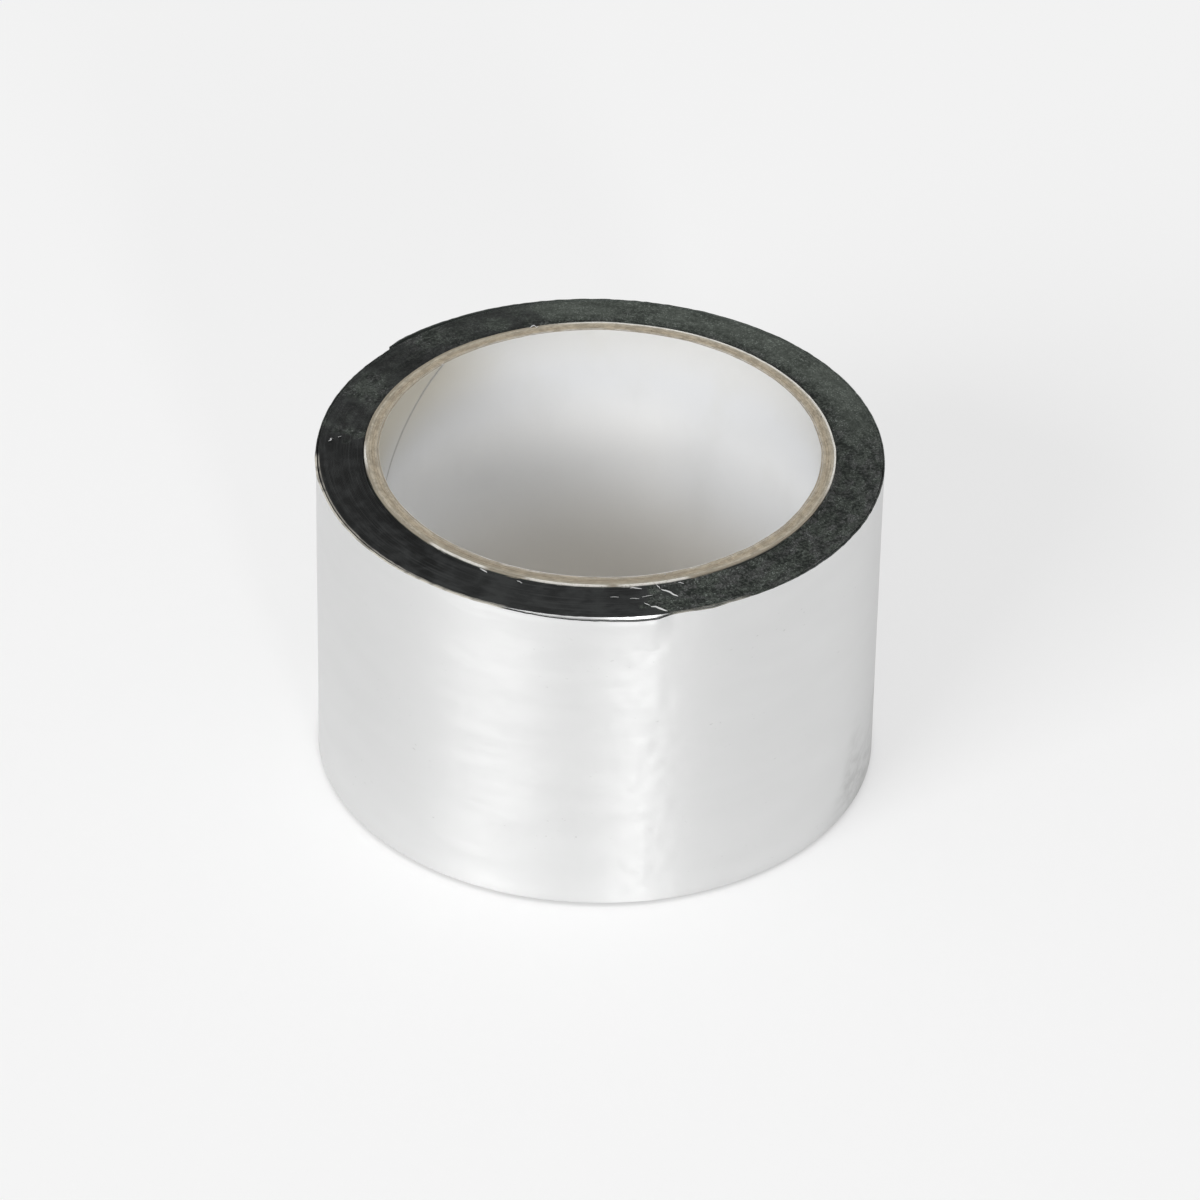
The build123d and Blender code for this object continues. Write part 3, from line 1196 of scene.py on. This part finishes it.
@dataclass
class Slivers:
    """Bright slivers of film that the knife dragged across the roll's end, and a flake of paper."""

    level: float  # height of the roll's end where they lie
    rim: float  # height of the core's end
    thickness: float = 0.04 * MM
    stations: int = 15
    core: float = 40.7 * MM  # the core's outer radius
    bank: float = 0.55 * MM  # how far the roll's end rises beside the core
    bank_width: float = 1 * MM
    foil: tuple[tuple[float, ...], ...] = (  # angle and radius, from and to, width, arch; in mm
        (284.2, 48.1, 281.2, 46.3, 0.3, 0.12),
        (281, 46.1, 280, 45.2, 0.12, 0.05),
        (287.6, 44.6, 284.8, 42, 0.26, 0.16),
        (284.6, 41.9, 283.9, 41, 0.13, 0.08),
        (279.2, 43.9, 277.2, 43.7, 0.07, 0.04),
        (282.4, 43.3, 279.9, 43.5, 0.07, 0.04),
        (274.8, 43.2, 272.9, 43.1, 0.06, 0.03),
        (177.6, 46.9, 176.3, 46.2, 0.32, 0.14),
        (176, 45.4, 175.2, 44.9, 0.16, 0.06),
        (243.4, 41.4, 241.2, 41.1, 0.18, 0.12),
        (252.4, 41.7, 250.9, 41.4, 0.1, 0.06),
        (280.4, 41.5, 277.6, 41.1, 0.16, 0.1),
        (290.4, 41.6, 289.2, 41.1, 0.1, 0.05),
    )
    paper: tuple[tuple[float, ...], ...] = ((108.6, 40.4, 106.4, 40.1, 0.45, 0.25),)

    def sliver(self, name: str, shape: tuple[float, ...], level: float, look: Material) -> Object:
        """One thin strip that arches off the surface it lies on.

        Args:
            name: Its piece name.
            shape: From and to angle and radius in mm, width and arch in mm.
            level: Height of the surface.
            look: Its material.

        Returns:
            The new object.
        """
        angle_from, radius_from, angle_to, radius_to, width, arch = shape
        share = np.linspace(0, 1, self.stations)
        radius = (radius_from + (radius_to - radius_from) * share) * MM
        line = unit(angle_from + (angle_to - angle_from) * share) * radius[:, None]
        banked = self.bank * fade(radius - self.core, self.bank_width) * (level < self.rim)
        across = np.cross(np.gradient(line, axis=0), (0, 0, 1))
        across /= np.linalg.norm(across, axis=1)[:, None]
        wander = Ripple(91, 0.22).at(share + radius_from) - 0.5
        line = line + across * (wander * width * 1.2 * MM)[:, None]
        taper = width * MM * (0.15 + 0.85 * np.sin(math.pi * share) ** 0.6) / 2
        rise = level + banked + arch * MM * np.sin(math.pi * share) ** 2
        sideways = taper[:, None] * np.array([1, -1, -1, 1])
        points = line[:, None, :] + across[:, None, :] * sideways[..., None]
        tilt = 0.35 * sideways
        points[..., 2] = rise[:, None] + self.thickness * np.array([1, 1, 0, 0]) + tilt
        place = stacked(share[:, None] * 3 * MM, tilt, tilt)
        return Sweep(points, np.zeros(4, dtype=int), 0, place).build(name, [look])

    def build(self, finishes: Finishes) -> None:
        """Makes every sliver.

        Args:
            finishes: The roll's finishes.
        """
        foil, liner = finishes.sides[Layer.FILM], finishes.liner
        for name, shapes, level, look, node, slot in (
            ("film_sliver", self.foil, self.level, foil, "wound_backing", "foil_film"),
            ("paper_flake", self.paper, self.rim, liner, "core_wrap", "wrap_paper"),
        ):
            for number, shape in enumerate(shapes, start=1):
                seat(self.sliver(f"{name}_{number}", shape, level, look), node)
        log.info("slivers: %d of film, %d of paper", len(self.foil), len(self.paper))


# Studio


@dataclass
class Lamp:
    """A soft box, aimed at the roll."""

    name: str
    angle: float  # where it stands around the roll
    climb: float  # its height, as degrees above level
    reach: float
    size: Pair
    power: float

    def build(self, target: Vector) -> None:
        """Hangs the lamp.

        Args:
            target: What it is aimed at.
        """
        data = bpy.data.lights.new(self.name, "AREA")
        data.shape = "RECTANGLE"
        data.size, data.size_y = self.size
        data.energy = self.power
        lamp = placed(self.name, data)
        level, rise = math.radians(self.angle), math.radians(self.climb)
        way = Vector((math.cos(level) * math.cos(rise), math.sin(level) * math.cos(rise), math.sin(rise)))
        lamp.location = target + way * self.reach
        lamp.rotation_euler = way.to_track_quat("Z", "Y").to_euler()


@dataclass
class Studio:
    """The camera, the lamps, the room's light and the pale floor."""

    lens: float = 208.18
    sensor: float = 36
    clip: Pair = (0.05, 50)
    distance: float = 1.213
    climb: float = 35.226  # the camera's height, as degrees above level
    roll: float = 1.105  # how far it leans anticlockwise
    aside: float = 0.47 * MM  # where the view's middle is, right of the roll's axis
    beneath: float = 0.82 * MM  # and below the roll's middle, square to the view
    floor_colour: Colour = (0.9, 0.9, 0.9)
    floor_half: float = 3
    room: float = 0.62  # strength of the room's own light
    lamps: tuple[Lamp, ...] = (
        Lamp("key", 231, 26, 6, (3, 2.5), 184),
        Lamp("strip", 285, 13, 6, (0.6, 1.8), 80),
    )

    def camera(self, middle: Vector) -> None:
        """Sets up the camera.

        Args:
            middle: The roll's middle.
        """
        rise, lean = math.radians(self.climb), math.radians(self.roll)
        ahead = Vector((0, math.cos(rise), -math.sin(rise)))
        right = Vector((1, 0, 0))
        up = right.cross(ahead)
        target = middle + right * self.aside - up * self.beneath
        leaned_right = right * math.cos(lean) + up * math.sin(lean)
        leaned_up = up * math.cos(lean) - right * math.sin(lean)
        data = bpy.data.cameras.new("camera")
        data.lens, data.sensor_width = self.lens, self.sensor
        data.clip_start, data.clip_end = self.clip
        camera = placed("camera", data)
        turn = Matrix((leaned_right, leaned_up, -ahead)).transposed()
        camera.matrix_world = Matrix.Translation(target - ahead * self.distance) @ turn.to_4x4()
        bpy.context.scene.camera = camera

    def world(self) -> None:
        """Fills the room with soft light, and shows it as the floor's colour to the camera."""
        world = bpy.data.worlds.new("studio")
        bpy.context.scene.world = world
        world.use_nodes = True
        nodes = Nodes(world.node_tree)
        seen = nodes.node("LightPath").outputs["Is Camera Ray"]
        shown = nodes.node("Background", {"Color": self.floor_colour}).outputs["Background"]
        lit = nodes.node("Background", {"Color": WHITE, "Strength": self.room}).outputs["Background"]
        mix = nodes.node("MixShader", {"Fac": seen, 1: lit, 2: shown})
        nodes.node("OutputWorld", {"Surface": mix.outputs["Shader"]})

    def floor(self, level: float) -> None:
        """Lays the floor.

        Args:
            level: Its height.
        """
        mesh = bpy.data.meshes.new("floor")
        signs = ((-1, -1), (1, -1), (1, 1), (-1, 1))
        corners = [(x * self.floor_half, y * self.floor_half, level) for x, y in signs]
        mesh.from_pydata(corners, [], [(0, 1, 2, 3)])
        mesh.materials.append(FloorFinish().make())
        placed("floor", mesh)

    def build(self, middle: Vector, level: float) -> None:
        """Sets up the whole studio.

        Args:
            middle: The roll's middle.
            level: The floor's height.
        """
        self.camera(middle)
        self.world()
        self.floor(level)
        for lamp in self.lamps:
            lamp.build(middle)
        bpy.context.scene.view_settings.view_transform = "Standard"
        log.info("studio: %d lamps", len(self.lamps))


def main() -> None:
    """Builds the roll and the studio around the frame."""
    logging.basicConfig(level=logging.INFO, format="%(message)s")
    finishes = Finishes()
    Core().build(finishes)
    wrap, tape = Ring.of("core_wrap"), Ring.of("wound_backing")
    spool = Spool(wrap.outer, tape.low, tape.high)
    face, surface = SlitFace(spool), OuterSurface(spool)
    end = FreeEnd(surface, face, sum(name.startswith("link_") for name in frame["bodies"]))
    turns = OuterTurns(surface, face, surface.begins - 360, surface.begins, end.middle(0))
    WoundTape(spool, face, turns.start).build(finishes)
    turns.build(finishes)
    end.build(finishes)
    Slivers(spool.high, wrap.high).build(finishes)
    low, high = (Vector(corner) for corner in CAD_BOX)
    Studio().build(Vector((0, 0, (low.z + high.z) / 2)), low.z)


if __name__ == "__main__":
    main()
